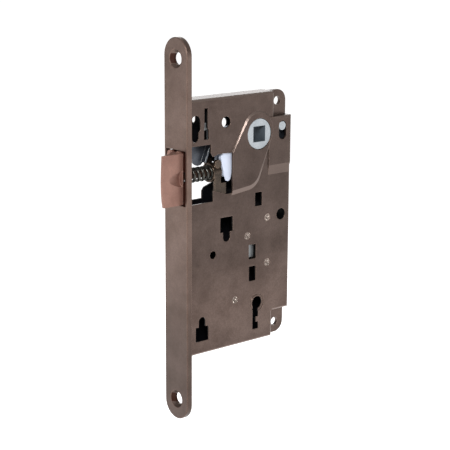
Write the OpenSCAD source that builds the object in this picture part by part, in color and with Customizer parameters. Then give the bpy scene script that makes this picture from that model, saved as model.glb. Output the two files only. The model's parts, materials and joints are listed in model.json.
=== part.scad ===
// Mortise lock with a bevelled latch bolt and a bit-key locking slide.
// Origin: centre of the faceplate's rear face, midway between its two screw holes.
// +X runs into the door edge, +Y across the door to the far side, +Z up.

/* [Faceplate] */
// Height of the faceplate
plate_h = 196; // [192:1:210]
// Width of the faceplate
plate_w = 18; // [18:1:22]
// Thickness of the faceplate
plate_t = 3; // [2.5:0.5:4]
// Distance between the two screw holes
screw_gap = 175; // [165:1:178]
// Bore of the screw holes
screw_d = 6.2; // [5.4:0.1:6.4]
// Countersink diameter of the screw holes
sink_d = 9.4; // [9:0.2:10.4]

/* [Case] */
// Faceplate's outer face to the hub axis
backset = 50; // [50:1:50]
// Hub axis to key axis
centres = 90; // [88:1:91]
// Height of the hub axis above the plate's centre
hub_z = 46.1; // [46:0.1:46.2]
// Thickness over both case shells
case_t = 11.2; // [11.2:0.1:11.4]
// Gauge of the case sheet
sheet = 1; // [1:0.1:1.1]
// Height of the case's upper edge
case_top = 67.2; // [66:0.1:68]
// Height of the case's lower edge
case_bottom = -64.5; // [-66:0.1:-64]
// Depth of the case behind the faceplate
case_depth = 69.7; // [69.7:0.1:70.5]
// Corner fixing holes' bore
tab_hole_d = 4.6; // [4:0.1:5]
// Height that the hub housing stands proud of the case side
emboss_h = 0.8; // [0.6:0.1:0.9]

/* [Latch] */
// How far the latch bolt projects from the faceplate
latch_out = 13.1; // [12.8:0.1:14.2]
// Height of the latch bolt
latch_h = 25.9; // [25:0.1:26]
// Height of the latch axis above the plate's centre
latch_z = 28.5; // [28.4:0.1:28.6]
// Mean radius of the latch spring
latch_coil_r = 3.25; // [3.2:0.05:3.3]
// Wire diameter of the latch spring
latch_wire = 1.25; // [1:0.05:1.25]

/* [Handle and key] */
// Side of the square spindle hole
spindle = 8; // [7:0.5:8]
// Outer diameter of the hub's visible ring
hub_ring_d = 15.7; // [15.5:0.1:15.8]
// Bore of the keyhole's round part
key_d = 6.9; // [6.4:0.1:7]

/* [Hidden] */
$fn = 64;
eps = 0.05;

half_t = case_t / 2;
inner_t = half_t - sheet;
hub_x = backset - plate_t;
key_z = hub_z - centres;
bend_r = 1.3;
ring_groove_r = 4.5;
ring_groove_deep = 0.35;
rise_h = 0.6;
rise_x = 54;
rise_low = 23.8;
rise_slope = 5;
edge_chamfer = 0.35;

// Corner tabs: the case body is cut back there and the two sheets lie together.
tab_in = 5.9;
cut_x = 57.9;
cut_top_z = 54;
cut_low_z = -50.4;
tab_x = case_depth - tab_in;
tab_top_z = case_top - tab_in;
tab_low_z = case_bottom + tab_in;

// Tenons that key the shells into the faceplate.
tenon_depth = 1.8;
tenon_y = 3;
tenon_z = [50, -57];
tenon_h = 10;

// Side window for the latch bolt.
window_low = 14.6;
window_top = 44;
window_x = 16.6;

// Posts that hold the shells together: their places in X and Z.
posts = [[53.8, 1.1], [40, -6.8], [53.9, -23.1], [31.7, -39.8]];
post_r = 2;
post_end_r = 2;
stake_w = 0.6;
stake_deep = 0.45;
detent_pivot = posts[2];

// Latch
plate_hole_low = 14.8;
plate_hole_top = 42.6;
plate_hole_y = 7.7;
head_y = 5.6;
head_end = -2.9;
neck_y = 2.8;
tail_x = 0.3;
tail_y = 4.35;
neck_half_h = latch_h / 2 - 1;
tail_end = 2;
bevel_hollow = 2.4;
flute_r = 5.4;
flute_deep = 2;
flute_tilt = 14.2;
lug_r = [2.2, 1.8];
lug_y = [3.3, -2.7];
lug_top = 42.3;
stem_start = -5;
cross_pin_x = -2.6;
cross_pin_half = 4.5;
nose_x = -plate_t - latch_out;
clip_y0 = 1.3;
clip_y1 = 2.1;
stem_r = 2;
guide_x0 = 17.8;
guide_x1 = 23;
guide_r = 4.9;
guide_groove_z = 31.9;
foot_x0 = 18.5;
foot_y = -3.4;
foot_z0 = 12;
spring_seat_x = 0;
spring_clear = 0.15;
nut_r = 3.95;
nut_x = 30.15;
nut_t = 2.4;

// Lever that turns the hub's swing into the latch's draw.
lever_pivot = [34, 47];
lever_pin_r = 1.8;
lever_boss_r = 3.4;
lever_nose = [27.2, 28.5];
lever_nose_r = 2.8;
lever_skin_y = 4.05;
lever_outer_y = 4.5;
lever_inner_y = 2.5;
lever_swing = 42.2;

// Hub finger, a pin shape that works in the lever's notch.
hub_body_r = 6.6;
hub_flange_r = 8.8;
finger_r = 7.4;
finger_tip_r = 1.3;
notch_half = 1.65;
centre_angle = atan2(lever_pivot[1] - hub_z, lever_pivot[0] - hub_x);
hub_swing = 32.1;
finger_angle = centre_angle + hub_swing / 2;
notch_angle = centre_angle - 180 - lever_swing / 2;
nose_r = 8.5;
nose_tip_r = 1.4;
nose_angle = hub_swing / 2;
mid_y = 2.2;
hub_mid_y = 2.7;

// Return slider behind the oblong slot.
pin_x = 63.3;
pin_z = 48.7;
pin_r = 2.3;
slot_r = 2.7;
slot_low = 44.3;
slot_high = 48.8;
seat_z = 20;
slider_low = 38.5;
slider_y = 2.5;
return_coil_r = 2.5;
return_wire = 0.8;

// Locking slide
slide_y0 = -3.4;
slide_y1 = -1.4;
slide_travel = 6;
slide_slot_r = 2.15;
detent_tip = [47.45, -2];
detent_tip_r = 1.2;
detent_spring_z = -9;

module slab(y0, y1) translate([0, y1, 0]) rotate([90, 0, 0]) linear_extrude(y1 - y0) children();

module peg(x, z, r, y0, y1) slab(y0, y1) translate([x, z]) circle(r);

module rod_x(r, x0, x1, z = latch_z) translate([x0, 0, z]) rotate([0, 90, 0]) cylinder(h = x1 - x0, r = r);

module box(x0, x1, y0, y1, z0, z1) translate([x0, y0, z0]) cube([x1 - x0, y1 - y0, z1 - z0]);

// A rounded slot in the X-Z plane, from one circle centre straight up or down to the other.
module upright_slot(x, z0, z1, r) {
    translate([x - r, z0]) square([2 * r, z1 - z0]);
    translate([x, z0]) circle(r);
    translate([x, z1]) circle(r);
}

// What a sheet-metal bend takes off a square corner at the origin.
module bend_cut(length, r = bend_r) linear_extrude(length) difference() {
    translate([-0.5, -0.5]) square(r + 0.5);
    translate([r, r]) circle(r);
}

// A wire coil along +Z, as round wire on a helix.
module coil(radius, wire_r, turns, length) {
    per_turn = 20;
    sides = 10;
    steps = turns * per_turn;
    points = [for (i = [0:steps]) let (a = 360 * i / per_turn, z = wire_r + (length - 2 * wire_r) * i / steps)
              for (j = [0:sides - 1]) let (b = 360 * j / sides, r = radius + wire_r * cos(b))
              [r * cos(a), r * sin(a), z + wire_r * sin(b)]];
    lower = [for (i = [0:steps - 1]) for (j = [0:sides - 1])
             [i * sides + j, (i + 1) * sides + j, i * sides + (j + 1) % sides]];
    upper = [for (i = [0:steps - 1]) for (j = [0:sides - 1])
             [(i + 1) * sides + j, (i + 1) * sides + (j + 1) % sides, i * sides + (j + 1) % sides]];
    caps = [[for (j = [0:sides - 1]) j], [for (j = [sides - 1:-1:0]) steps * sides + j]];
    polyhedron(points, concat(lower, upper, caps), convexity = 8);
}

// ---------------------------------------------------------------- faceplate

module plate_blank() {
    side = plate_w / 2;
    end_z = plate_h / 2 - side;
    translate([0, 0, -end_z]) linear_extrude(2 * end_z)
        polygon([[0, -side], [0, side], [edge_chamfer - plate_t, side], [-plate_t, side - edge_chamfer],
                 [-plate_t, edge_chamfer - side], [edge_chamfer - plate_t, -side]]);
    for (z = [-end_z, end_z]) translate([0, 0, z]) rotate([0, -90, 0]) rotate_extrude()
        polygon([[0, 0], [side, 0], [side, plate_t - edge_chamfer], [side - edge_chamfer, plate_t],
                 [0, plate_t]]);
}

module faceplate() color("#7a6a63") difference() {
    plate_blank();
    box(-plate_t - eps, eps, -plate_hole_y, plate_hole_y, plate_hole_low, plate_hole_top);
    for (z = [-screw_gap / 2, screw_gap / 2]) {
        rod_x(screw_d / 2, -plate_t - eps, eps, z);
        translate([-plate_t - eps, 0, z]) rotate([0, 90, 0])
            cylinder(h = (sink_d - screw_d) / 2 + eps, r1 = sink_d / 2 + eps, r2 = screw_d / 2);
    }
    for (z = tenon_z) box(-tenon_depth, eps, -tenon_y, tenon_y, z, z + tenon_h);
}

// ---------------------------------------------------------------- case shells

module case_outline(inset = 0) polygon([
    [0, case_bottom + inset], [cut_x - inset, case_bottom + inset], [cut_x - inset, cut_low_z + inset],
    [case_depth - inset, cut_low_z + inset], [case_depth - inset, cut_top_z - inset],
    [cut_x - inset, cut_top_z - inset], [cut_x - inset, case_top - inset], [0, case_top - inset]]);

// Outline of a corner tab, a quarter round about its hole.
module tab_outline(hole_z, edge_z) {
    up = sign(edge_z - hole_z);
    inner_z = up > 0 ? cut_top_z - sheet : cut_low_z + sheet;
    translate([cut_x - sheet, min(inner_z, hole_z)])
        square([case_depth - cut_x + sheet, abs(hole_z - inner_z)]);
    translate([cut_x - sheet, min(hole_z, edge_z)]) square([tab_x - cut_x + sheet, tab_in]);
    translate([tab_x, hole_z]) circle(tab_in);
}

// Hub housing: a raised pear shape that is open at its left edge.
module housing_outline(narrow) {
    low = 2.4 * narrow;
    hull() {
        translate([46.6, 47.4]) circle(10.6 - 0.9 * narrow, $fn = 40);
        translate([39.5, 26.8 + low / 2]) circle(9.3 - low / 2, $fn = 40);
        translate([29, 16.4 + low]) square([1, 22.2 - low - 0.6 * narrow]);
    }
}

module housing(grow, base_y) hull() {
    slab(base_y - 0.02, base_y) housing_outline(0);
    slab(base_y - grow, base_y - grow + 0.02) housing_outline(1);
}

// Raised strip behind the hub, with a wide sloping lower edge.
module back_rise(base_y) translate([rise_x, 0, 0]) rotate([90, 0, 90]) linear_extrude(case_depth - rise_x)
    polygon([[base_y + eps, rise_low], [base_y + eps, cut_top_z], [base_y - rise_h, cut_top_z],
             [base_y - rise_h, rise_low + rise_slope], [base_y, rise_low]]);

module shell_solid() {
    slab(-half_t, 0) case_outline();
    housing(emboss_h, -half_t);
    back_rise(-half_t);
    slab(-sheet, 0) {
        tab_outline(tab_top_z, case_top);
        tab_outline(tab_low_z, case_bottom);
    }
    for (z = tenon_z) box(-tenon_depth, eps, -tenon_y, 0, z, z + tenon_h);
}

module shell_hollow() {
    difference() {
        slab(-inner_t, 1) case_outline(sheet);
        box(-1, sheet, -half_t, 2, window_top + 2, case_top);
        box(-1, sheet, -half_t, 2, case_bottom, window_low - 2.4);
    }
    housing(emboss_h, -inner_t);
}

module bends() {
    translate([0, -half_t, case_bottom]) rotate([90, 0, 90]) bend_cut(cut_x);
    translate([0, -half_t, case_top]) mirror([0, 0, 1]) rotate([90, 0, 90]) bend_cut(cut_x);
    translate([case_depth, -half_t, cut_low_z]) mirror([1, 0, 0]) bend_cut(rise_low + rise_slope - cut_low_z);
    translate([case_depth, -half_t - rise_h, rise_low]) mirror([1, 0, 0]) bend_cut(cut_top_z - rise_low);
    translate([cut_x, -half_t, case_bottom - 1]) mirror([1, 0, 0]) bend_cut(cut_low_z - case_bottom + 1);
    translate([cut_x, -half_t, cut_top_z]) mirror([1, 0, 0]) bend_cut(case_top - cut_top_z + 1);
    translate([cut_x, -half_t, cut_low_z]) rotate([90, 0, 90]) bend_cut(case_depth - cut_x + 1);
    translate([cut_x, -half_t - rise_h, cut_top_z]) mirror([0, 0, 1]) rotate([90, 0, 90])
        bend_cut(case_depth - cut_x + 1);
}

// Near window for the latch bolt, its lever and its spring, open to the faceplate.
module near_window() polygon([
    [-1, window_low], [window_x, window_low], [window_x, 20.2], [25.8, 17.3], [29, 17.4], [29, 38.4],
    [20, 38.6], [16.6, 37.5], [15.1, 39.7], [15.1, window_top], [-1, window_top]]);

// The far window is smaller and gives the bolt and its clip just their room.
module far_window() polygon([
    [-1, window_low], [17.9, window_low], [17.9, 18.3], [19.3, 20.2], [25, 22.1], [29, 22.5], [29, 31.5],
    [25, 32.8], [21.1, 35.7], [19, 39], [window_x, window_top], [-1, window_top]]);

module keyhole() {
    translate([hub_x, key_z]) circle(key_d / 2);
    difference() {
        translate([44, -58.3]) square([4.1, key_z + 58.3]);
        translate([46.5, -54.5]) square([2, 2.8]);
    }
}

module tee(x, z0, z1, half, stem_half, stem_end) {
    translate([x - half, z0]) square([2 * half, z1 - z0]);
    upright_slot(x, min(stem_end, z1), max(stem_end, z0), stem_half);
}

module shared_holes() {
    translate([hub_x, hub_z]) circle(hub_ring_d / 2 + 0.3);
    keyhole();
    translate([63.3, 1.7]) circle(3.1);
    for (p = posts) translate(p) circle(post_end_r);
    for (z = [tab_top_z, tab_low_z]) translate([tab_x, z]) circle(tab_hole_d / 2);
    tee(25.7, -2.5, 5.4, 4.3, 2.4, -5.2);
    tee(9.6, -57.6, -49.9, 4.3, 2.3, -47);
    translate([16.7, -13.2]) circle(2.1);
    translate([45, 8.2]) square([4.9, 7.3]);
    translate([41, -19.6]) square([5, 7.8]);
    translate([41.2, -31.5]) square([4.8, 8]);
    upright_slot(pin_x, slot_low, slot_high, slot_r);
}

module near_holes() {
    near_window();
    translate([25.1, 54.3]) circle(2.9);
    upright_slot(5.4, 53, 56.3, 3);
    upright_slot(5, 48.2, 53, 2.2);
    translate([10.8, 52]) square([2.3, 10.5]);
    translate([10.6, 46.7]) square([3.1, 5.4]);
}

module far_holes() {
    far_window();
    translate([31.8, 52]) circle(2.7);
    upright_slot(5.4, 53, 56.3, 3);
    upright_slot(12.6, 55.2, 56.6, 1.2);
}

module shell_blank() difference() {
    shell_solid();
    shell_hollow();
    bends();
    slab(-half_t - 2, 1) shared_holes();
    slab(-half_t - 1, ring_groove_deep - half_t) difference() {
        translate([hub_x, key_z]) circle(ring_groove_r + 0.35);
        translate([hub_x, key_z]) circle(ring_groove_r - 0.35);
    }
}

module case_near_shell() color("#6b5c54") difference() {
    shell_blank();
    slab(-half_t - 2, eps - inner_t) near_holes();
}

module case_far_shell() color("#655750") mirror([0, 1, 0]) difference() {
    shell_blank();
    slab(-half_t - 2, eps - inner_t) far_holes();
}

// Turned posts with cross-staked ends.
module case_posts() color("#8f8a86") for (p = posts) difference() {
    union() {
        peg(p[0], p[1], post_r, -inner_t, inner_t);
        peg(p[0], p[1], post_end_r, 0.1 - half_t, half_t - 0.1);
    }
    for (side = [0, 1]) mirror([0, side, 0]) translate([p[0], 0.05 - half_t, p[1]]) rotate([-90, 0, 0]) {
        cylinder(h = 0.75, r1 = 1.2, r2 = 0.2, $fn = 32);
        for (a = [40, 130]) rotate(a) translate([-1.7, -stake_w / 2, 0]) cube([3.4, stake_w, stake_deep]);
    }
}

// ---------------------------------------------------------------- latch

// Plan of the bolt seen from above: flat near face, bevel hollowed on a large radius.
module head_plan() {
    tip = [nose_x, 1 - head_y];
    root = [-plate_t, head_y];
    run = root - tip;
    chord = norm(run);
    bevel_r = chord * chord / 8 / bevel_hollow + bevel_hollow / 2;
    out = [-run[1], run[0]] / chord;
    difference() {
        polygon([[nose_x, -head_y], [head_end, -head_y], [head_end, head_y], root, tip]);
        translate((tip + root) / 2 + out * (bevel_r - bevel_hollow)) circle(bevel_r, $fn = 256);
    }
}

module head_side() polygon([
    [0, latch_z - latch_h / 2], [0, latch_z + latch_h / 2], [nose_x + 0.6, latch_z + latch_h / 2],
    [nose_x + 0.2, latch_z + 6.5], [nose_x, latch_z], [nose_x + 0.1, latch_z - 5.5],
    [nose_x + 0.5, latch_z - latch_h / 2 + 3], [nose_x + 1.1, latch_z - latch_h / 2]]);

module cross_pin_shape() translate([cross_pin_x, 0, latch_z - cross_pin_half])
    cylinder(h = 2 * cross_pin_half, r = 1, $fn = 32);

module latch_head() color("#a98775") difference() {
    union() {
        intersection() {
            translate([0, 0, latch_z - latch_h / 2]) linear_extrude(latch_h) head_plan();
            slab(-head_y, head_y) head_side();
        }
        box(head_end - 0.1, tail_x + 0.1, -neck_y, neck_y, latch_z - neck_half_h, latch_z + neck_half_h);
        box(tail_x, tail_end, -tail_y, tail_y, 13.3, 44.1);
        // Cast lugs on top of the root, one behind the other.
        for (i = [0, 1]) translate([head_end - 1.1, lug_y[i], lug_top - lug_r[i]]) rotate([0, 90, 0])
            cylinder(h = 2.8, r = lug_r[i], $fn = 40);
    }
    // Round groove in the flat face that runs out to the left.
    translate([head_end, flute_deep - head_y - flute_r, latch_z + 0.2]) rotate([0, 0, flute_tilt])
        rotate([0, -90, 0]) translate([0, 0, -0.5]) cylinder(h = 12, r = flute_r, $fn = 96);
    rod_x(stem_r, stem_start, 3);
    rod_x(latch_coil_r + latch_wire / 2 + spring_clear, spring_seat_x, 3);
    cross_pin_shape();
    slab(clip_y0 - 0.1, clip_y1 + 0.1) translate([1, 36.8]) square([1.1, 5.2]);
}

module latch_stem() color("#a86c4c") difference() {
    rod_x(stem_r, stem_start, nut_x + nut_t + 1.4);
    cross_pin_shape();
}

module stem_nut() color("#9a9ea2") difference() {
    rod_x(nut_r, nut_x, nut_x + nut_t);
    rod_x(stem_r, nut_x - 1, nut_x + nut_t + 1);
}

module latch_cross_pin() color("#9a9ea2") cross_pin_shape();

// Sheet blade on the back of the bolt, with a leaning flange bent towards the near side.
module latch_clip() color("#4d5158") {
    slab(clip_y0, clip_y1) {
        translate([1, 36.8]) square([2, 5.2]);
        polygon([[3, 36.4], [12.4, 36.4], [12.4, 32.5], [14.4, 32.8], [15.3, 34], [18.8, 43], [3, 43]]);
        translate([12.4, 36.4]) circle(3.9);
    }
    slab(-1.6, clip_y0) polygon([[14.4, 34.3], [15.3, 34], [18.8, 43], [17.9, 43]]);
}

module latch_spring() color("#b9bcc0")
    translate([spring_seat_x, 0, latch_z]) rotate([0, 90, 0])
        coil(latch_coil_r, latch_wire / 2, 6, guide_x1 - 1 - spring_seat_x);

// Barrel that guides the stem and holds the spring, on a foot at the near side.
module stem_guide() color("#8b6650") difference() {
    union() {
        rod_x(guide_r, guide_x0, guide_x1);
        box(foot_x0, guide_x1 - 0.4, -inner_t, foot_y, foot_z0, latch_z);
        box(foot_x0, 26, -inner_t, foot_y, foot_z0, 23.2);
        for (side = [0, 1]) mirror([0, side, 0]) peg(20.9, 33.2, 2.1, -4.4, -2.8);
    }
    rod_x(latch_coil_r + latch_wire / 2 + spring_clear, guide_x0 - 1, guide_x1 - 1);
    rod_x(stem_r + 0.08, guide_x1 - 2, guide_x1 + 1);
    // Groove for the clip, which runs over the barrel.
    box(guide_x0 - 1, guide_x1 + 1, clip_y0 - 0.35, clip_y1 + 0.35, guide_groove_z, latch_z + guide_r + 1);
}

// Light strip spring behind the narrow upper slot, fixed to the near side.
module catch_spring() color("#c9cdd2") {
    slab(-3.9, -3.1) polygon([[14.4, 45.6], [15.4, 45.6], [15.4, 52], [13.3, 52], [13.3, 54.8], [12.1, 54.8],
                              [12.1, 51.2], [14.4, 51.2]]);
    box(15.2, 19, -inner_t, -3.1, 46, 50);
}

// ---------------------------------------------------------------- lever and hub

module lever_skin() {
    polygon([[22.7, 36], [23.3, 33], [24.6, 28.5], [25.3, 25.4], [25.9, 24.2], [26.9, 23.7], [28.2, 23.9],
             [29, 24.8], [29.5, 26.6], [30, 28.5], [32, 36], [36.4, 44.6], [31, 48.6], [26.5, 41.4],
             [24.9, 39.6], [23.6, 38.1], [22.9, 37]]);
    translate(lever_pivot) circle(lever_boss_r);
}

// Cheek of the lever, whose upper left edge is set back by some millimetres.
module lever_cheek(set_back) {
    polygon([[22.7 + set_back, 36], [23.3 + 0.8 * set_back, 33], [24.6, 28.5], [25, 26.2], [27.2, 25.8],
             [29.6, 28.5], [29.7, 31.8], [31.6, 36], [36.4, 44.6], [31, 48.6], [26.5 + 0.6 * set_back, 41.4],
             [24.9 + 0.8 * set_back, 39.6], [23.6 + set_back, 38.1], [22.9 + set_back, 37]]);
    translate(lever_nose) circle(lever_nose_r);
    translate(lever_pivot) circle(lever_boss_r);
}

// Boss between the cheeks with the notch that the hub's finger works in.
module lever_boss() difference() {
    union() {
        translate(lever_pivot) circle(lever_boss_r);
        intersection() {
            translate(lever_pivot) circle(6.1);
            translate(lever_pivot) rotate(notch_angle) translate([0, -3.6]) square([7, 7.2]);
        }
    }
    translate(lever_pivot) rotate(notch_angle) translate([4.15, -notch_half]) square([4, 2 * notch_half]);
}

module latch_lever() color("#dfe4ea") difference() {
    union() {
        slab(-lever_outer_y, -lever_skin_y) lever_skin();
        slab(-lever_skin_y, -lever_inner_y) lever_cheek(0);
        slab(lever_inner_y, lever_outer_y) lever_cheek(3);
        slab(-lever_inner_y, lever_inner_y) lever_boss();
    }
    peg(lever_pivot[0], lever_pivot[1], lever_pin_r + 0.06, -6, 6);
}

module lever_pivot_pin() color("#9a9ea2") peg(lever_pivot[0], lever_pivot[1], lever_pin_r, -inner_t, inner_t);

module arm(angle, radius, tip) rotate(angle) {
    translate([0, -tip]) square([radius, 2 * tip]);
    translate([radius, 0]) circle(tip);
}

// Two ringed cheeks on a thin body, with a finger for the lever and a nose for the return slider.
module hub() color("#b0b7bd") difference() {
    union() {
        for (side = [0, 1]) mirror([0, side, 0]) {
            peg(hub_x, hub_z, hub_ring_d / 2, -half_t - 0.5, -hub_mid_y);
            peg(hub_x, hub_z, hub_flange_r, 0.1 - inner_t, -hub_mid_y);
        }
        peg(hub_x, hub_z, hub_body_r, -hub_mid_y, hub_mid_y);
        slab(-mid_y, mid_y) translate([hub_x, hub_z]) {
            arm(finger_angle, finger_r, finger_tip_r);
            arm(nose_angle, nose_r, nose_tip_r);
        }
    }
    slab(-half_t - 1, half_t + 1) translate([hub_x - spindle / 2, hub_z - spindle / 2]) square(spindle);
}

// ---------------------------------------------------------------- handle return

module return_slider() color("#8d9297") difference() {
    union() {
        slab(-slider_y, slider_y) translate([59.2, slider_low + 1.5]) square([8.4, 11.8]);
        slab(-mid_y, mid_y) polygon([[54.6, 43], [60, 43], [60, 46.95], [55.6, 46.95], [54.6, 46.5]]);
    }
    peg(pin_x, pin_z, pin_r, -slider_y - 0.1, -1);
    translate([pin_x, 0, slider_low]) cylinder(h = 3, r = 1.2);
}

module slider_pin() color("#c4c9ce") peg(pin_x, pin_z, pin_r, -half_t - 0.3, -1);

module return_spring() color("#b9bcc0") translate([pin_x, 0, seat_z])
    coil(return_coil_r, return_wire / 2, 8, slider_low + 1.5 - seat_z);

module return_spring_seat() color("#8d9297") {
    box(60, 66.6, -inner_t, inner_t, seat_z - 2, seat_z);
    translate([pin_x, 0, seat_z]) cylinder(h = 3, r = 1.7);
}

// ---------------------------------------------------------------- key work

module slide_outline() difference() {
    union() {
        translate([36.5, -19.2]) square([9.6, 29]);
        polygon([[33.4, 9], [36.4, 4], [40.4, 4], [40.4, 9.8], [36.6, 18], [33.4, 18]]);
        polygon([[46, -10.5], [47.5, -8], [46, -1]]);
        polygon([[28.7, -51], [37, -51], [37, -19.2], [36.5, -12], [28.7, -30]]);
    }
    upright_slot(posts[1][0], posts[1][1] - slide_travel, posts[1][1], slide_slot_r);
    upright_slot(posts[3][0], posts[3][1] - slide_travel, posts[3][1], slide_slot_r);
    translate([34.5, -48.1]) square([3, 2.6]);
}

module locking_slide() color("#b3b8bc") slab(slide_y0, slide_y1) slide_outline();

module detent_lever() color("#80858a") slab(slide_y0, slide_y1) difference() {
    union() {
        translate(detent_pivot) circle(3.6);
        translate(detent_tip) circle(detent_tip_r);
        polygon([[56, -20.5], [52.4, -13], [52.2, -6.5], [50.6, -3], [48.2, -1.1], [46.6, -2.8], [49.2, -12],
                 [50.4, -22]]);
    }
    translate(detent_pivot) circle(post_r + 0.08);
}

module detent_spring() color("#b9bcc0") translate([52.5, (slide_y0 + slide_y1) / 2, detent_spring_z])
    rotate([0, 90, 0]) coil(1.5, 0.25, 6, 5.4);

module detent_spring_post() color("#8d9297") peg(60, detent_spring_z, 2, -inner_t, inner_t);

faceplate();
case_near_shell();
case_far_shell();
case_posts();
latch_head();
latch_stem();
stem_nut();
latch_cross_pin();
latch_clip();
latch_spring();
stem_guide();
catch_spring();
latch_lever();
lever_pivot_pin();
hub();
return_slider();
slider_pin();
return_spring();
return_spring_seat();
locking_slide();
detent_lever();
detent_spring();
detent_spring_post();
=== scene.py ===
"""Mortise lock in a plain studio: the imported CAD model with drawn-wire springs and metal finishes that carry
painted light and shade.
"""
import json
import math

import bmesh
import bpy
from mathutils import Matrix, Vector


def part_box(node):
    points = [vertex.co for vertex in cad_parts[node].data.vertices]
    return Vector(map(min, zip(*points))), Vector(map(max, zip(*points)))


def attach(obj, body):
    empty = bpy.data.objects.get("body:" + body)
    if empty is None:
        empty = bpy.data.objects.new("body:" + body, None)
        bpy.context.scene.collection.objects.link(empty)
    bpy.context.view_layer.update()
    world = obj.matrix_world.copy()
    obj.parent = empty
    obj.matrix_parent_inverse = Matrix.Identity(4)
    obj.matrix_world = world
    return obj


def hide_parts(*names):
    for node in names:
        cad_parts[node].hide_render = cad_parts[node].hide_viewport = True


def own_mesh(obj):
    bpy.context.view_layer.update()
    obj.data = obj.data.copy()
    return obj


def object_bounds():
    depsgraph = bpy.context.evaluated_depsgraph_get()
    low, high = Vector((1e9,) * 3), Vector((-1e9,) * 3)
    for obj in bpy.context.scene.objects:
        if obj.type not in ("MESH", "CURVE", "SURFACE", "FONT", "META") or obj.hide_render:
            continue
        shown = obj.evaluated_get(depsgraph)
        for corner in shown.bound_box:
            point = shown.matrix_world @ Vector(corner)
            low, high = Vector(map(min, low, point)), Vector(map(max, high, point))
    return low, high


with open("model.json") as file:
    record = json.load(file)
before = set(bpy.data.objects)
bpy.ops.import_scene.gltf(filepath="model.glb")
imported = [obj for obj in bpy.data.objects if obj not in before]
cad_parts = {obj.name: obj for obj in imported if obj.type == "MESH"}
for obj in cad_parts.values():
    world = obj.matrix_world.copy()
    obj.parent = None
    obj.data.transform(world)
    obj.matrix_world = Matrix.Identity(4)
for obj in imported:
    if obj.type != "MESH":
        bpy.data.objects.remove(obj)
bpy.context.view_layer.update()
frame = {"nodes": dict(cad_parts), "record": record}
MM = 0.001

# ------------------------------------------------------------------ camera and studio

# The camera's fitted angles, distance and lens, and how far its centre slips right and up of the aim.
AZIMUTH = math.radians(-40.677)
ELEVATION = math.radians(13.221)
ROLL = math.radians(0.297)
DISTANCE = 717.0 * MM
LENS_MM = 111.04
AIM_MM = (32.0, 0.0, 0.0)
SLIP_MM = (1.980, 0.744)
LIGHT_AIM = Vector((0.03, 0, 0))
FLOOR_SIZE = 12
FLOOR_GAP = 160 * MM
WORLD_LIGHT = 0.30


def view_axes():
    """Right, up and back of the rolled camera."""
    back = Vector((math.sin(AZIMUTH) * math.cos(ELEVATION),
                   -math.cos(AZIMUTH) * math.cos(ELEVATION), math.sin(ELEVATION)))
    right = Vector((math.cos(AZIMUTH), math.sin(AZIMUTH), 0))
    up = back.cross(right)
    turned_right = math.cos(ROLL) * right + math.sin(ROLL) * up
    turned_up = math.cos(ROLL) * up - math.sin(ROLL) * right
    return turned_right, turned_up, back


def add_camera():
    right, up, back = view_axes()
    slip = SLIP_MM[0] * MM * right + SLIP_MM[1] * MM * up
    place = Vector(AIM_MM) * MM - slip + DISTANCE * back
    data = bpy.data.cameras.new("camera")
    data.lens = LENS_MM
    data.sensor_width = 36.0
    data.clip_start = 0.01
    camera = bpy.data.objects.new("camera", data)
    camera.matrix_world = Matrix(((right.x, up.x, back.x, place.x), (right.y, up.y, back.y, place.y),
                                  (right.z, up.z, back.z, place.z), (0, 0, 0, 1)))
    bpy.context.scene.collection.objects.link(camera)
    bpy.context.scene.camera = camera


def add_area(name, direction, distance, size, power):
    """A square soft box that looks at the lock from a direction."""
    data = bpy.data.lights.new(name, "AREA")
    data.shape = "SQUARE"
    data.size = size
    data.energy = power
    light = bpy.data.objects.new(name, data)
    direction = Vector(direction).normalized()
    light.location = LIGHT_AIM + direction * distance
    light.rotation_euler = direction.to_track_quat("Z", "Y").to_euler()
    bpy.context.scene.collection.objects.link(light)


def studio_world():
    """A white room that is plain white to look at, and lights the lock only softly."""
    world = bpy.data.worlds.new("studio")
    world.use_nodes = True
    tree = world.node_tree
    background = tree.nodes["Background"]
    background.inputs["Color"].default_value = (1, 1, 1, 1)
    seen = tree.nodes.new("ShaderNodeMapRange")
    seen.inputs["To Min"].default_value = WORLD_LIGHT
    seen.inputs["To Max"].default_value = 1.0
    tree.links.new(tree.nodes.new("ShaderNodeLightPath").outputs["Is Camera Ray"], seen.inputs["Value"])
    tree.links.new(seen.outputs["Result"], background.inputs["Strength"])
    return world


def floor_material():
    shader = Shader("floor_pale", Roughness=0.9)
    shader.main.inputs["Base Color"].default_value = (0.92, 0.92, 0.92, 1)
    shader.main.inputs["Emission Color"].default_value = (1, 1, 1, 1)
    shader.main.inputs["Emission Strength"].default_value = 0.8
    return shader.material


def add_studio():
    bpy.context.scene.world = studio_world()
    add_area("key", (-0.547, -0.641, 0.54), 0.9, 0.26, 7.0)
    add_area("side", (-0.95, 0.35, 0.05), 1.1, 0.7, 5.0)
    add_area("top", (0.05, 0.25, 1.0), 1.0, 0.7, 3.6)
    add_area("behind", (0.635, 0.738, 0.30), 1.0, 0.5, 2.0)
    add_area("fill", (0.65, -0.75, -0.05), 1.3, 0.8, 2.6)
    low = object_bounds()[0]
    bpy.ops.mesh.primitive_plane_add(size=FLOOR_SIZE, location=(0, 0, low[2] - FLOOR_GAP))
    floor = bpy.context.object
    floor.name = "floor"
    floor.data.materials.append(floor_material())
    bpy.context.scene.view_settings.view_transform = "Standard"


# ------------------------------------------------------------------ materials

# Soft side of a shaded room, and the share of the pressed walls' painted highlight colour that a gently
# sloping wall gets.
ROOM_SOFT = 0.12 * MM
GENTLE_SHARE = 0.34
# Noise sizes of the metal's fine grain and of its cloudy colour, and the grain's depth.
GRAIN = 1500.0
CLOUD = 60.0
GRAIN_DEPTH = 0.03 * MM
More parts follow.
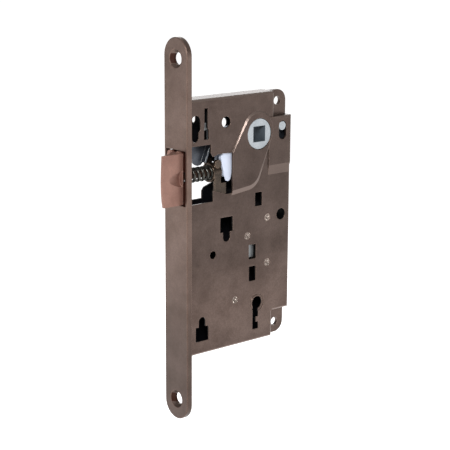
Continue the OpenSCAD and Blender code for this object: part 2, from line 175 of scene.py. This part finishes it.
# Sizes of the shaded rooms: the case's inside, its cut corners, the countersinks and the square hole.
WALL = 0.5 * MM
ROOM_Y = 5.05 * MM
HOUSING_Y = 5.55 * MM
CUT_BACK = 11.8 * MM
CUT_TOP = 13.2 * MM
CUT_LOW = 14.1 * MM
MOUNTS = {mount["name"]: mount for mount in frame["record"]["mounts"]}
SCREW_GAP = MOUNTS["faceplate_screws"]["dims"]["spacing_y_mm"] * MM
SINK_HALF = 4.9 * MM
HUB_CENTRE = MOUNTS["handle_spindle"]["pos_m"]
SPINDLE_HOLE_HALF = 4.15 * MM
# How far the housing's room reaches from the middle of the hub: front, down, back and up.
HOUSING_REACH = (18 * MM, 30 * MM, 10 * MM, 12 * MM)


class Shader:
    """A Principled material that is built up node by node."""

    def __init__(self, name, **values):
        self.material = bpy.data.materials.new(name)
        self.material.use_nodes = True
        self.tree = self.material.node_tree
        self.main = self.tree.nodes["Principled BSDF"]
        for key, value in values.items():
            self.main.inputs[key.replace("_", " ")].default_value = value
        self.place = self.tree.nodes.new("ShaderNodeTexCoord").outputs["Object"]

    def node(self, kind, **settings):
        made = self.tree.nodes.new(kind)
        for key, value in settings.items():
            setattr(made, key, value)
        return made

    def join(self, source, target):
        self.tree.links.new(source, target)

    def noise(self, scale, detail, rough=0.55):
        made = self.node("ShaderNodeTexNoise")
        made.inputs["Scale"].default_value = scale
        made.inputs["Detail"].default_value = detail
        made.inputs["Roughness"].default_value = rough
        self.join(self.place, made.inputs["Vector"])
        return made.outputs["Fac"]

    def ramp(self, factor, stops):
        """A colour ramp with (position, colour) stops; a new ramp already has two."""
        made = self.node("ShaderNodeValToRGB")
        elements = made.color_ramp.elements
        for at, (position, colour) in enumerate(stops):
            stop = elements[at] if at < 2 else elements.new(position)
            stop.position = position
            stop.color = (*colour, 1)
        self.join(factor, made.inputs["Fac"])
        return made.outputs["Color"]

    def spread(self, value, start, end, low=0.0, high=1.0):
        """A number that runs from low to high as value runs from start to end."""
        made = self.node("ShaderNodeMapRange")
        made.inputs["From Min"].default_value = start
        made.inputs["From Max"].default_value = end
        made.inputs["To Min"].default_value = low
        made.inputs["To Max"].default_value = high
        self.join(value, made.inputs["Value"])
        return made.outputs["Result"]

    def give(self, value, socket):
        """Links a node's output to a socket, or writes a plain number or colour on it."""
        if hasattr(value, "links"):
            self.join(value, socket)
        elif isinstance(value, tuple):
            socket.default_value = (*value, 1)
        else:
            socket.default_value = value

    def mix(self, factor, first, second, blend="MIX"):
        made = self.node("ShaderNodeMix", data_type="RGBA", blend_type=blend)
        for name, value in (("Factor", factor), ("A", first), ("B", second)):
            self.give(value, made.inputs[name])
        return made.outputs["Result"]

    def edges(self, radius):
        """1 on sharp outer edges, 0 on flat faces, and the softened normal."""
        bevel = self.node("ShaderNodeBevel", samples=4)
        bevel.inputs["Radius"].default_value = radius
        geometry = self.node("ShaderNodeNewGeometry")
        dot = self.node("ShaderNodeVectorMath", operation="DOT_PRODUCT")
        self.join(bevel.outputs["Normal"], dot.inputs[0])
        self.join(geometry.outputs["Normal"], dot.inputs[1])
        return self.spread(dot.outputs["Value"], 0.995, 0.90), bevel.outputs["Normal"]

    def maths(self, operation, first, second=0.0):
        made = self.node("ShaderNodeMath", operation=operation)
        for socket, value in zip(made.inputs, (first, second)):
            self.give(value, socket)
        return made.outputs["Value"]

    def split(self, vector):
        """The X, Y and Z of a vector."""
        parts = self.node("ShaderNodeSeparateXYZ")
        self.join(vector, parts.inputs["Vector"])
        return parts.outputs

    def within(self, low, high):
        """1 inside a box in the object's own frame and 0 outside it, with soft sides."""
        whole = None
        for axis, along in enumerate(self.split(self.place)):
            away = self.maths("ABSOLUTE", self.maths("SUBTRACT", along, (low[axis] + high[axis]) / 2))
            half = (high[axis] - low[axis]) / 2
            share = self.spread(away, half, half - ROOM_SOFT)
            whole = share if whole is None else self.maths("MULTIPLY", whole, share)
        return whole

    def inside_any(self, rooms):
        """1 inside any of several boxes."""
        whole = None
        for low, high in rooms:
            share = self.within(low, high)
            whole = share if whole is None else self.maths("MAXIMUM", whole, share)
        return whole

    def drawn_walls(self):
        """1 on walls that slope out of the sheet's flat sides, 0 on the flats and on cut edges: where the
        painted wall highlight goes.
        """
        normal = self.node("ShaderNodeNewGeometry").outputs["True Normal"]
        facing = self.maths("ABSOLUTE", self.split(normal)["Y"])
        gentle = self.spread(facing, 0.9995, 0.994, high=GENTLE_SHARE)
        steep = self.spread(facing, 0.985, 0.90, high=1 - GENTLE_SHARE)
        not_cut = self.maths("GREATER_THAN", facing, 0.3)
        return self.maths("MULTIPLY", self.maths("ADD", gentle, steep), not_cut)

    def along_z(self, stops):
        """A grey level that follows the height, from (height in mm, level) stops."""
        low, high = stops[0][0], stops[-1][0]
        share = self.spread(self.split(self.place)["Z"], low * MM, high * MM)
        return self.ramp(share, [((z - low) / (high - low), (v, v, v)) for z, v in stops])

    def bump(self, height, strength, distance, normal):
        """Small bumps on top of the softened normal."""
        made = self.node("ShaderNodeBump")
        made.inputs["Strength"].default_value = strength
        made.inputs["Distance"].default_value = distance
        self.join(height, made.inputs["Height"])
        self.join(normal, made.inputs["Normal"])
        self.join(made.outputs["Normal"], self.main.inputs["Normal"])


def metal_with_painted_light(name, dark, light, edge, metallic, rough, edge_radius=0.3 * MM, contrast=0.22,
                 rooms=(), room_colour=(0.004, 0.004, 0.005), drawn=None, patina=None):
    """A satin metal finish with fine grain, cloudy colour, and edges made lighter for wear and a painted
    highlight.

    Its rooms are boxes of painted shade, the pressed walls get a painted highlight colour, and a grey level by
    height paints shade onto the colour.
    """
    shader = Shader(name, Metallic=metallic)
    cloud = shader.noise(CLOUD, 4.0, 0.65)
    fine = shader.noise(GRAIN, 3.0, 0.75)
    colour = shader.ramp(cloud, [(0.34, dark), (0.66, light)])
    speckle = shader.ramp(fine, [(0.32, (1 - contrast,) * 3), (0.68, (1 + contrast,) * 3)])
    colour = shader.mix(1.0, colour, speckle, "MULTIPLY")
    # A painted shade darkens the colour by height.
    if patina:
        colour = shader.mix(1.0, colour, shader.along_z(patina), "MULTIPLY")
    # Sharp edges take the edge colour: partly wear, partly a painted highlight.
    wear_and_highlight, normal = shader.edges(edge_radius)
    colour = shader.mix(wear_and_highlight, colour, edge)
    # Pressed walls take a painted highlight colour, lighter than the flats.
    if drawn:
        colour = shader.mix(shader.drawn_walls(), colour, drawn)
    # Inside the rooms the colour is painted shade, with less specular and no metal.
    if rooms:
        in_painted_shade = shader.inside_any(rooms)
        colour = shader.mix(in_painted_shade, colour, room_colour)
        dull = shader.maths("SUBTRACT", 0.5, shader.maths("MULTIPLY", in_painted_shade, 0.45))
        metal_out_of_shade = shader.maths("MULTIPLY", shader.maths("SUBTRACT", 1.0, in_painted_shade), metallic)
        shader.join(dull, shader.main.inputs["Specular IOR Level"])
        shader.join(metal_out_of_shade, shader.main.inputs["Metallic"])
    shader.join(colour, shader.main.inputs["Base Color"])
    shader.join(shader.spread(fine, 0.3, 0.7, rough - 0.06, rough + 0.08), shader.main.inputs["Roughness"])
    shader.bump(fine, 0.4, GRAIN_DEPTH, normal)
    return shader.material


def case_rooms():
    """The hollow inside of the case, painted in shade, as boxes: the tall front part, the whole depth and the
    hub housing.
    """
    low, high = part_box("case_near_shell")
    front = ((WALL, -ROOM_Y, low[2] + WALL), (high[0] - CUT_BACK - WALL, ROOM_Y, high[2] - WALL))
    whole = ((WALL, -ROOM_Y, low[2] + CUT_LOW + WALL), (high[0] - WALL, ROOM_Y, high[2] - CUT_TOP - WALL))
    hub_low, hub_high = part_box("hub")
    middle = (hub_low + hub_high) / 2
    to_front, down, to_back, up = HOUSING_REACH
    housing = ((middle[0] - to_front, -HOUSING_Y, middle[2] - down),
               (middle[0] + to_back, HOUSING_Y, middle[2] + up))
    return front, whole, housing


def plate_rooms():
    """The shaded inside of the faceplate's bolt opening and of its two countersinks."""
    low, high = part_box("faceplate")
    head_low, head_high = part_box("latch_head")
    gap = 2.2 * MM
    behind = high[0] - 0.1 * MM
    rooms = [((low[0] + 0.5 * MM, head_low[1] - gap, head_low[2] + 0.2 * MM),
              (behind, head_high[1] + gap, head_high[2] - 0.2 * MM))]
    for hole_z in (-SCREW_GAP / 2, SCREW_GAP / 2):
        rooms.append(((low[0] + 0.15 * MM, -SINK_HALF, hole_z - SINK_HALF / 2),
                      (behind, SINK_HALF, hole_z + SINK_HALF / 2)))
    return rooms


def bolt_rooms():
    """The part of the bolt that sits in the faceplate's opening or behind it, painted in shade."""
    low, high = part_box("latch_head")
    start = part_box("faceplate")[0][0] + 0.3 * MM
    return [((start, low[1] - MM, low[2] - MM), (high[0] + MM, high[1] + MM, high[2] + MM))]


def hub_rooms():
    """The square hole through the hub, painted in shade."""
    low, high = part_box("hub")
    half = SPINDLE_HOLE_HALF
    return [((HUB_CENTRE[0] - half, low[1] - MM, HUB_CENTRE[2] - half),
             (HUB_CENTRE[0] + half, high[1] + MM, HUB_CENTRE[2] + half))]


def nylon():
    """Moulded white nylon: slight glow under the skin and a faint mottled surface."""
    shader = Shader("white_nylon", Roughness=0.42)
    fine = shader.noise(900.0, 2.0)
    cloud = shader.noise(120.0, 2.0)
    colour = shader.ramp(cloud, [(0.3, (0.46, 0.50, 0.60)), (0.7, (0.54, 0.58, 0.68))])
    shader.join(colour, shader.main.inputs["Base Color"])
    shader.main.inputs["Subsurface Weight"].default_value = 0.2
    shader.main.inputs["Subsurface Radius"].default_value = (0.002, 0.002, 0.002)
    _, normal = shader.edges(0.0005)
    shader.bump(fine, 0.2, 0.00002, normal)
    return shader.material


# Height in mm and grey level: a painted shade that darkens the colour unevenly by height, from the foot to the
# top.
PLATE_HEIGHT_SHADE = [(-98, 0.50), (-60, 0.53), (-20, 0.76), (22, 1.0), (50, 0.88), (98, 0.74)]
CASE_HEIGHT_SHADE = [(-62, 0.88), (-42, 0.96), (-15, 0.66), (30, 0.55), (62, 0.64)]

# For each slot: dark, light and edge colours, metallic, roughness, and what differs from the usual. The edge
# colour is partly wear and partly a painted highlight.
METALS = {
    # The plate's room colour is painted shadow in the bolt opening and the countersinks.
    "bronze_plate": ((0.108, 0.070, 0.055), (0.155, 0.106, 0.088), (0.20, 0.120, 0.088), 0.75, 0.38,
                     {"contrast": 0.16, "rooms": plate_rooms, "room_colour": (0.030, 0.012, 0.008),
                      "patina": PLATE_HEIGHT_SHADE}),
    # The case's rooms are painted shade inside it.
    "bronze_case": ((0.076, 0.049, 0.039), (0.121, 0.083, 0.069), (0.22, 0.155, 0.125), 0.75, 0.36,
                    # drawn is a painted highlight colour for the pressed walls.
                    {"contrast": 0.2, "rooms": case_rooms, "drawn": (0.20, 0.15, 0.13),
                     "patina": CASE_HEIGHT_SHADE}),
    # The rivet ends' pale edge colour is a painted glint.
    "rivet_bronze": ((0.10, 0.074, 0.063), (0.18, 0.14, 0.12), (0.80, 0.70, 0.62), 0.8, 0.28,
                     {"edge_radius": 0.25 * MM}),
    # The bolt's room colour is painted shade where it enters the faceplate.
    "bolt_bronze": ((0.165, 0.080, 0.060), (0.225, 0.120, 0.092), (0.32, 0.19, 0.15), 0.45, 0.42,
                    {"contrast": 0.12, "rooms": bolt_rooms, "room_colour": (0.045, 0.014, 0.009)}),
    "copper_stem": ((0.09, 0.050, 0.034), (0.19, 0.11, 0.078), (0.42, 0.28, 0.20), 0.8, 0.34, {}),
    "guide_bronze": ((0.026, 0.019, 0.014), (0.080, 0.057, 0.042), (0.33, 0.23, 0.165), 0.8, 0.27,
                     {"contrast": 0.3}),
    "dark_steel": ((0.025, 0.029, 0.037), (0.060, 0.066, 0.078), (0.34, 0.36, 0.37), 0.7, 0.36, {}),
    "spring_wire": ((0.028, 0.027, 0.024), (0.095, 0.092, 0.080), (0.2, 0.2, 0.18), 0.85, 0.30,
                    {"edge_radius": 0.1 * MM}),
    "post_steel": ((0.20, 0.165, 0.145), (0.27, 0.23, 0.21), (0.6, 0.55, 0.5), 0.7, 0.35, {}),
    "zinc": ((0.17, 0.18, 0.185), (0.25, 0.26, 0.265), (0.5, 0.52, 0.53), 0.6, 0.35, {"contrast": 0.12}),
    # The hub's room colour is painted shade inside its square hole.
    "hub_zinc": ((0.26, 0.285, 0.305), (0.34, 0.365, 0.385), (0.50, 0.53, 0.55), 0.35, 0.42,
                 {"contrast": 0.1, "rooms": hub_rooms, "room_colour": (0.068, 0.082, 0.095)}),
}


def finish_for(slot):
    if slot == "white_nylon":
        return nylon()
    *values, more = METALS[slot]
    more = dict(more)
    if "rooms" in more:
        more["rooms"] = more["rooms"]()
    return metal_with_painted_light(slot, *values, **more)


def paint_nodes():
    """Gives each CAD node the finish that its material slot names."""
    made = {}
    for entry in frame["record"]["subparts"]:
        slot = entry["material_slot"]
        if slot not in made:
            made[slot] = finish_for(slot)
        thing = frame["nodes"][entry["node"]]
        thing.data.materials.clear()
        thing.data.materials.append(made[slot])
    return made


# ------------------------------------------------------------------ springs

STEPS_PER_TURN = 48
WIRE_SIDES = 16
CLOSED_TURNS = 1.0


def coil_mesh(name, wire_r, coil_r, length, turns):
    """A compression spring along +X from the origin, with a closed turn at each end."""
    mesh = bmesh.new()
    rings = []
    for step in range(int(turns * STEPS_PER_TURN) + 1):
        turn = step / STEPS_PER_TURN
        share = min(max((turn - CLOSED_TURNS) / (turns - 2 * CLOSED_TURNS), 0.0), 1.0)
        end_rise = wire_r * 2 * (min(turn, CLOSED_TURNS) + max(turn - turns + CLOSED_TURNS, 0.0))
        along = wire_r + end_rise + share * (length - 2 * wire_r - 4 * wire_r * CLOSED_TURNS)
        angle = 2 * math.pi * turn
        out = Vector((0, math.cos(angle), math.sin(angle)))
        ring = []
        for side in range(WIRE_SIDES):
            bend = 2 * math.pi * side / WIRE_SIDES
            centre = Vector((along + wire_r * math.sin(bend), 0, 0))
            ring.append(mesh.verts.new(out * (coil_r + wire_r * math.cos(bend)) + centre))
        rings.append(ring)
    for first, second in zip(rings, rings[1:]):
        for side in range(WIRE_SIDES):
            after = (side + 1) % WIRE_SIDES
            mesh.faces.new((first[side], first[after], second[after], second[side]))
    mesh.faces.new(list(reversed(rings[0])))
    mesh.faces.new(rings[-1])
    bmesh.ops.recalc_face_normals(mesh, faces=mesh.faces[:])
    for face in mesh.faces:
        face.smooth = len(face.verts) == 4
    data = bpy.data.meshes.new(name)
    mesh.to_mesh(data)
    mesh.free()
    return data


def add_spring(name, node, axis, wire_r, turns, finish, fixed_high):
    """A drawn-wire spring in place of a CAD coil."""
    low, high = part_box(node)
    along = "xyz".index(axis)
    length = high[along] - low[along]
    coil_r = (high[1] - low[1]) / 2 - wire_r
    spring = bpy.data.objects.new(name, coil_mesh(name, wire_r, coil_r, length, turns))
    bpy.context.scene.collection.objects.link(spring)
    centre = (low + high) / 2
    start, anchor = centre.copy(), centre.copy()
    start[along] = low[along]
    anchor[along] = high[along] if fixed_high else low[along]
    spring.location = start
    spring.rotation_euler = (0, 0.0 if axis == "x" else -math.pi / 2, 0)
    spring.data.materials.append(finish)
    bpy.context.view_layer.update()
    spring.data.transform(spring.matrix_world)
    spring.matrix_world.identity()
    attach(spring, "case")
    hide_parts(node)
    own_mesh(spring)


def add_springs(finish):
    add_spring("latch_spring_wire", "latch_spring", "x", 0.76 * MM, 8.0, finish,
               True)
    add_spring("return_spring_wire", "return_spring", "z", 0.40 * MM, 9.0, finish,
               False)
    add_spring("detent_spring_wire", "detent_spring", "x", 0.25 * MM, 7.0, finish,
               True)


add_camera()
add_studio()
finishes = paint_nodes()
add_springs(finishes["spring_wire"])
